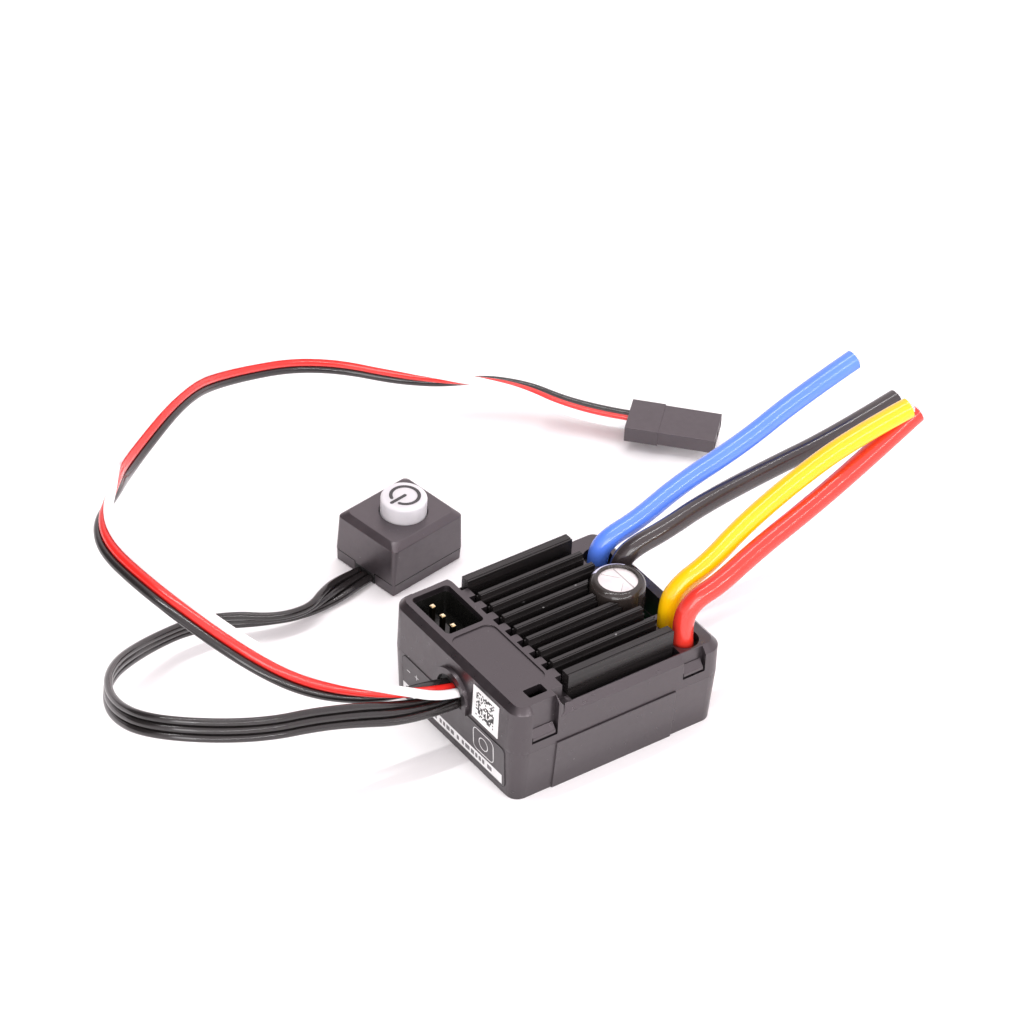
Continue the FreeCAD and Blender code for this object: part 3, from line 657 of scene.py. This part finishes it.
def tangents(path):
    """Unit direction of the path at each of its points."""
    lines = []
    for index in range(len(path)):
        before = path[max(index - 1, 0)]
        after = path[min(index + 1, len(path) - 1)]
        lines.append((after - before).normalized())
    return lines


def eased(keys, fraction):
    """Smooth value through (fraction, value) keys, without a halt at any of them."""
    last = len(keys) - 1
    index = 0
    while index < last - 1 and fraction > keys[index + 1][0]:
        index += 1
    slopes = []
    for key in (index, index + 1):
        before = keys[max(key - 1, 0)]
        after = keys[min(key + 1, last)]
        slopes.append((after[1] - before[1]) / (after[0] - before[0]))
    (start, low), (end, high) = keys[index], keys[index + 1]
    span = end - start
    t = (fraction - start) / span
    near = low + slopes[0] * span * t
    far = high - slopes[1] * span * (1 - t)
    weight = t * t * (3 - 2 * t)
    return near * (1 - weight) + far * weight


def tube_mesh(path, radius, sides, first_vertex=0, material=0):
    """Rings along a path and the faces between them, with closed ends."""
    vertices = []
    faces = []
    side = tangents(path)[0].orthogonal().normalized()
    for place, tangent in zip(path, tangents(path)):
        side = (side - tangent * side.dot(tangent)).normalized()
        other = tangent.cross(side)
        for step in range(sides):
            turn = 2 * math.pi * step / sides
            vertices.append(place + (side * math.cos(turn) + other * math.sin(turn)) * radius)
    for row in range(len(path) - 1):
        for step in range(sides):
            after = (step + 1) % sides
            corners = (
                row * sides + step, row * sides + after,
                (row + 1) * sides + after, (row + 1) * sides + step)
            faces.append((tuple(first_vertex + c for c in corners), material))
    last = (len(path) - 1) * sides
    faces.append((tuple(first_vertex + s for s in reversed(range(sides))), material))
    faces.append((tuple(first_vertex + last + s for s in range(sides)), material))
    return vertices, faces


# ---- leads ----

def power_lead(colour):
    """Thick silicone lead: a curve with a round section, cut square, with its strands at the end."""
    route = POWER_LEAD_ROUTES[colour]
    curve = route_curve("lead_" + colour, route)
    curve.bevel_depth = LEAD_RADIUS
    curve.bevel_resolution = 8
    curve.use_fill_caps = True
    curve.materials.append(LOOKS[colour])
    lead = bpy.data.objects.new("lead_" + colour, curve)
    bpy.context.scene.collection.objects.link(lead)
    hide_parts("power_lead_" + colour)
    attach(lead, "controller")
    path = centreline(route)
    strands = lead_strands(colour, path)


def lead_strands(colour, path):
    """Tinned strands, packed in rings, that show at the cut end of a power lead."""
    tangent = (path[-1] - path[-2]).normalized()
    side = tangent.orthogonal().normalized()
    other = tangent.cross(side)
    start = path[-1] - tangent * STRAND_ROOT
    end = path[-1] + tangent * TIP_LENGTH
    vertices = []
    faces = []
    for ring in range(STRAND_RINGS + 1):
        count = max(6 * ring, 1)
        for step in range(count):
            turn = 2 * math.pi * step / count + ring
            shift = (side * math.cos(turn) + other * math.sin(turn)) * ring * STRAND_SPACING
            uneven = tangent * STRAND_UNEVENNESS * math.sin(7.0 * step + 3.0 * ring)
            strand = [start + shift, end + shift + uneven]
            more, joined = tube_mesh(strand, STRAND_RADIUS, 8, len(vertices))
            vertices += more
            faces += joined
    replaced = ("lead_tips",) if colour == "blue" else ()
    return add_piece("strands_" + colour, vertices, faces, ["tinned"], replaces=replaced)


def ribbon_lead(name, route, roll, pitch, radius, looks):
    """Three insulated conductors side by side along a route, rolled about it."""
    path = centreline(route)
    lines = {step: [] for step in (-1, 0, 1)}
    for place, tangent, fraction in zip(path, tangents(path), fractions(path)):
        left = UP.cross(tangent).normalized()
        up = tangent.cross(left)
        turn = math.radians(eased(roll, fraction))
        across = up * math.cos(turn) + left * math.sin(turn)
        for step in lines:
            lines[step].append(place + across * pitch * step)
    vertices = []
    faces = []
    for number, step in enumerate(lines):
        more, joined = tube_mesh(lines[step], radius, 16, len(vertices), number)
        vertices += more
        faces += joined
    piece = add_piece(name, vertices, faces, looks, smooth=60)
    return piece, path


def receiver_lead():
    """White, red and black ribbon, with the plug at its end."""
    looks = ["wire_white", "wire_red", "wire_black"]
    lead, path = ribbon_lead(
        "receiver_ribbon", RECEIVER_ROUTE, RECEIVER_ROLL, RECEIVER_PITCH, RECEIVER_RADIUS, looks)
    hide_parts("receiver_lead")
    plug = rounded_copy("plug_housing", 0.00012, "plug")


def switch_lead():
    """All-black ribbon from the case to the remote switch."""
    looks = ["wire_black", "wire_black", "wire_black"]
    lead, path = ribbon_lead(
        "switch_ribbon", SWITCH_ROUTE, SWITCH_ROLL, SWITCH_PITCH, SWITCH_RADIUS, looks)
    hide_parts("switch_lead")


# ---- capacitor ----

def capacitor():
    """Can with a vent scored in its top, and its sleeve with a lip rolled over the rim."""
    low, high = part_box("capacitor_sleeve")
    centre = ((low[0] + high[0]) / 2, (low[1] + high[1]) / 2)
    radius = (high[0] - low[0]) / 2
    top = high[2]
    shoulder = 1.0 * MM
    disc = 2.9 * MM
    disc_top = top - 0.35 * MM
    inside = radius - 0.15 * MM
    can_side = radius - 0.2 * MM
    lip = 0.14 * MM
    shoulder_centre = (radius - shoulder, top - shoulder)

    sleeve = [(radius, low[2])] + arc(shoulder_centre, shoulder, 0, 80)
    sleeve += arc((disc + lip, top - 0.15 * MM), lip, 80, 180, 4)
    sleeve += [(disc, disc_top - 0.1 * MM), (inside, top - 1.6 * MM), (inside, low[2])]
    vertices, faces = lathe(sleeve, centre, closed=True)
    add_piece(
        "capacitor_sleeve_turned", vertices, faces, ["sleeve"],
        replaces=("capacitor_sleeve",))

    can = [(can_side, low[2] + 0.3 * MM), (can_side, top - 1.8 * MM)]
    can += [(disc + 0.05 * MM, disc_top), (0.3 * MM, disc_top + 0.03 * MM)]
    vertices, faces = lathe(can, centre)
    add_piece(
        "capacitor_can_turned", vertices, faces, ["can"],
        replaces=("capacitor_can",))

    vent_scores(centre, disc_top)
    stripe = arc(shoulder_centre, shoulder + 0.02 * MM, 28, 74)
    vertices, faces = sleeve_stripe(stripe, centre, math.radians(128), math.radians(215))
    add_piece("capacitor_stripe", vertices, faces, ["stripe"])


def vent_scores(centre, disc_top):
    """Lines scored in the can's top: (start, end, width) in millimetres from its centre."""

    def on_disc(u, v, height):
        return (centre[0] + u, centre[1] + v, disc_top + height)

    lines = (
        ((-2.4, 1.0), (2.4, 1.0), 0.2),
        ((-2.4, -1.2), (-0.3, 0.6), 0.08),
        ((0.8, 0.35), (2.2, -1.0), 0.08),
    )
    scores = Print(on_disc)
    for start, end, width in lines:
        line = [(start[0] * MM, start[1] * MM), (end[0] * MM, end[1] * MM)]
        scores.stroke(line, width * MM, -0.02 * MM, 0.035 * MM)
    scores.piece("capacitor_scores", "score", "capacitor_can")


def sleeve_stripe(profile, centre, start, end, steps=24):
    """Printed patch of the sleeve, part of a turn of a (radius, z) profile."""
    vertices = []
    for radius, z in profile:
        for step in range(steps + 1):
            turn = start + (end - start) * step / steps
            vertices.append((
                centre[0] + radius * math.cos(turn), centre[1] + radius * math.sin(turn), z))
    faces = []
    width = steps + 1
    for row in range(len(profile) - 1):
        for step in range(steps):
            corner = row * width + step
            faces.append((corner, corner + 1, corner + width + 1, corner + width))
    return vertices, faces


# ---- power button ----

def power_button():
    """Milky cap with a rounded rim and a flange, and the symbol printed on it."""
    low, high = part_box("power_button")
    centre = ((low[0] + high[0]) / 2, (low[1] + high[1]) / 2)
    flange = (high[0] - low[0]) / 2
    top = high[2]
    rim = 0.45 * MM
    profile = [
        (flange, low[2]), (flange, low[2] + FLANGE_THICK), (BUTTON_RADIUS, low[2] + FLANGE_THICK)]
    profile += arc((BUTTON_RADIUS - rim, top - rim), rim, 0, 90)
    vertices, faces = lathe(profile, centre)
    add_piece(
        "button_turned", vertices, faces, ["milky"], body="button",
        replaces=("power_button",))

    def on_button(u, v, height):
        turned = Matrix.Rotation(SWITCH_TURN, 2) @ Vector((u, v + SYMBOL_SHIFT))
        return (centre[0] + turned.x, centre[1] + turned.y, top + height)

    symbol = Print(on_button)
    broken_ring = arc((0, 0), SYMBOL_RADIUS, -90 + SYMBOL_GAP, 270 - SYMBOL_GAP, 48)
    for line in (broken_ring, [(0, -SYMBOL_BAR), (0, 0)]):
        symbol.stroke(line, SYMBOL_STROKE, -0.02 * MM, 0.03 * MM)
    symbol.piece("symbol_printed", "symbol", "symbol_grey", "button", ("button_symbol",))


def switch_seam_shade():
    """Painted shade line along the seam where the switch's two halves meet, stepping down round the tab
    over the lead.
    """
    low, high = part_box("switch_base")
    middle = Vector(((low[0] + high[0]) / 2, (low[1] + high[1]) / 2, 0))
    turn = Matrix.Rotation(SWITCH_TURN, 3, "Z")

    for side in range(4):
        half_width, half_depth = SWITCH_HALF_X, SWITCH_HALF_Y
        if side % 2:
            half_width, half_depth = half_depth, half_width
        spin = turn @ Matrix.Rotation(side * math.pi / 2, 3, "Z")

        def on_side(u, v, height):
            return tuple(middle + spin @ Vector((u, -half_depth + SEAM_DEPTH - height, v)))

        end = half_width - SWITCH_CORNER
        lines = [[(-end, SEAM_Z), (end, SEAM_Z)]]
        if side == 0:
            lines = [
                [(-end, SEAM_Z), (-TAB_HALF, SEAM_Z), (-TAB_HALF, TAB_LOW)],
                [(TAB_HALF, TAB_LOW), (TAB_HALF, SEAM_Z), (end, SEAM_Z)],
            ]
        # The dark line is painted shade in the gap between the halves.
        seam = Print(on_side)
        for line in lines:
            seam.stroke(line, SEAM_WIDTH, 0, 2 * SEAM_DEPTH)
        seam.piece("switch_seam_%d" % side, "painted_shade", "black_rubber")


# ---- program port ----

def on_level(u, v, height):
    return (u, v, height)


def square(x, y, half):
    return [(x - half, y - half), (x + half, y - half), (x + half, y + half), (x - half, y + half)]


def painted_shade_black():
    """Dark glossy sheet of painted shade over the port's deep walls, which stops a little under its
    rim.
    """
    left, right = PORT_X
    front, rear = PORT_Y
    wall = 0.05 * MM
    corner = 0.7 * MM
    bottom = 12.0 * MM
    rim = 15.75 * MM
    outer = rounded_rectangle(left, right, front, rear, corner)
    inner = rounded_rectangle(left + wall, right - wall, front + wall, rear - wall, corner - wall)
    rings = ((inner, bottom + 0.02 * MM), (inner, rim), (outer, rim))
    vertices = [on_level(u, v, height) for outline, height in rings for u, v in outline]
    count = len(outer)
    faces = []
    for lower in (0, count):
        upper = lower + count
        for i in range(count):
            after = (i + 1) % count
            faces.append((lower + i, upper + i, upper + after, lower + after))
    faces.append(tuple(range(count)))
    add_piece("painted_shade_black", vertices, faces, ["painted_shade"])


def port_pins():
    """Three square pins with bevelled tips; the shafts take the gold darkened as painted shade, the
    tips the plain gold.
    """
    low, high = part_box("program_pins")
    half = (high[1] - low[1]) / 2
    pitch = (high[0] - low[0] - 2 * half) / 2
    middle_y = (low[1] + high[1]) / 2
    tip_low = high[2] - 0.3 * MM
    bevel = 0.12 * MM
    shafts = Print(on_level)
    tips = Print(on_level)
    for number in range(3):
        x = low[0] + half + number * pitch
        shafts.shape(square(x, middle_y, half), low[2], tip_low)
        tips.shape(square(x, middle_y, half), tip_low, high[2] - bevel)
        tips.shape(square(x, middle_y, 0.7 * half), high[2] - bevel - 0.01 * MM, high[2])
    # Shafts in the gold darkened as painted shade; tips in the plain gold.
    shafts.piece("pin_shafts", "painted_shade_gold", "gold_pins", replaces=("program_pins",))
    tips.piece("pin_tips", "gold", "gold_pins")


# ---- labels on the front ----

def on_lower_front(u, v, height):
    """Place on the sloping front face of the lower shell."""
    return (u, -HALF_LENGTH + DRAFT * (1 - v / PARTING_Z) - height, v)


def on_cover_front(u, v, height):
    return (u, -HALF_LENGTH - height, v)


def front_label_print():
    """Painted shade line round the label's edge, plain strip with a row of dashes, and small generic
    marks on the dark label.
    """
    film = 0.12 * MM
    sunk = film - 0.02 * MM
    ink = film + 0.012 * MM
    # Thin near-black line round the label: painted shade along the label's edge.
    edge_shade = Print(on_lower_front)
    edge = rounded_rectangle(-12.35 * MM, 12.95 * MM, 1.25 * MM, 8.55 * MM, 0.85 * MM)
    edge_shade.ring(edge, 0.1 * MM, sunk, film + 0.008 * MM)
    edge_shade.piece("label_edge_shade", "painted_shade", "label_film")

    white = Print(on_lower_front)
    strip_end, strip_low, strip_high = 12.3 * MM, 1.7 * MM, 3.4 * MM
    strip = [
        (-strip_end, strip_low), (strip_end, strip_low), (strip_end, strip_high),
        (-strip_end, strip_high),
    ]
    white.shape(strip, sunk, ink)
    emblem_line = 0.16 * MM
    frame_line = rounded_rectangle(5.4 * MM, 10.3 * MM, 3.9 * MM, 7.9 * MM, 0.9 * MM)
    white.ring(frame_line, emblem_line, sunk, ink)
    circle = arc((7.85 * MM, 5.9 * MM), 1.05 * MM, 0, 345, 23)
    white.ring(circle, emblem_line, sunk, ink)
    minus = ((-11.2, 6.2), (-10.5, 6.2))
    plus = (((-9.2, 6.4), (-8.4, 6.4)), ((-8.8, 6.0), (-8.8, 6.8)))
    for line in (minus, *plus):
        points = [(u * MM, v * MM) for u, v in line]
        white.stroke(points, 0.13 * MM, sunk, ink)
    white.piece("label_print", "ink", "label_paper")
    strip_dashes(film, ink + 0.01 * MM)


def strip_dashes(low, high):
    """Row of dashes of uneven length, in place of lettering, on the label's strip."""
    dashes = Print(on_lower_front)
    chance = random.Random(5)
    u = -11.6
    while u < 10.0:
        width = chance.choice((0.55, 0.8, 1.1))
        outline = rounded_rectangle(
            u * MM, (u + width) * MM, 2.15 * MM, 2.95 * MM, 0.12 * MM, 3)
        dashes.shape(outline, low, high)
        u += width + chance.choice((0.3, 0.3, 0.7))
    dashes.piece("label_dashes", "grey_ink", "label_paper")


def code_label_print():
    """Pattern of scattered squares, without a meaning, on the white sticker."""
    half = 0.135 * MM
    cells = 16
    left, low = 5.85 * MM, 10.3 * MM
    filled = 0.47
    chance = random.Random(11)
    pattern = Print(on_cover_front)
    for row in range(cells):
        for column in range(cells):
            if chance.random() < filled:
                u = left + (2 * column + 1) * half
                v = low + (2 * row + 1) * half
                pattern.shape(square(u, v, half), 0.09 * MM, 0.105 * MM)
    pattern.piece("code_pattern", "dots", "label_paper")


# ---- the scene ----

LOOKS = make_materials()
place_camera()
light_the_scene()
make_floor()
for lead_colour in POWER_LEAD_ROUTES:
    power_lead(lead_colour)
receiver_lead()
switch_lead()

rounded_copy("lower_shell", 0.00018, "case")
rounded_copy("top_cover", 0.00012, "case")
rounded_copy("heatsink", 0.00005, "heatsink")
rounded_copy("switch_cover", 0.0002, "switch")
rounded_copy("switch_base", 0.0002, "switch")

capacitor()
power_button()
switch_seam_shade()
painted_shade_black()
port_pins()
front_label_print()
code_label_print()

NODE_LOOKS = {
    "heatsink_seal": "rubber", "thermal_pad": "pad", "circuit_board": "board",
    "power_transistors": "chip", "controller_chip": "chip", "voltage_regulator": "chip",
    "ceramic_capacitors": "ceramic", "solder_pads": "tinned", "lead_tails": "tinned",
    "capacitor_bung": "rubber", "capacitor_legs": "tinned", "exit_grommet": "rubber",
    "lead_seal_left": "rubber", "lead_seal_right": "rubber", "plug_contacts": "gold",
    "switch_grommet": "rubber", "switch_posts": "switch", "switch_board": "board",
    "switch_lamps": "lens", "tactile_body": "chip", "tactile_plunger": "chip",
    # program_header: its own black plastic, in the near-black painted shade of the port's depth
    "program_header": "painted_shade", "front_label": "film", "code_label": "paper",
}
for node_name, look in NODE_LOOKS.items():
    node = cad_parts[node_name]
    node.data.materials.clear()
    node.data.materials.append(LOOKS[look])
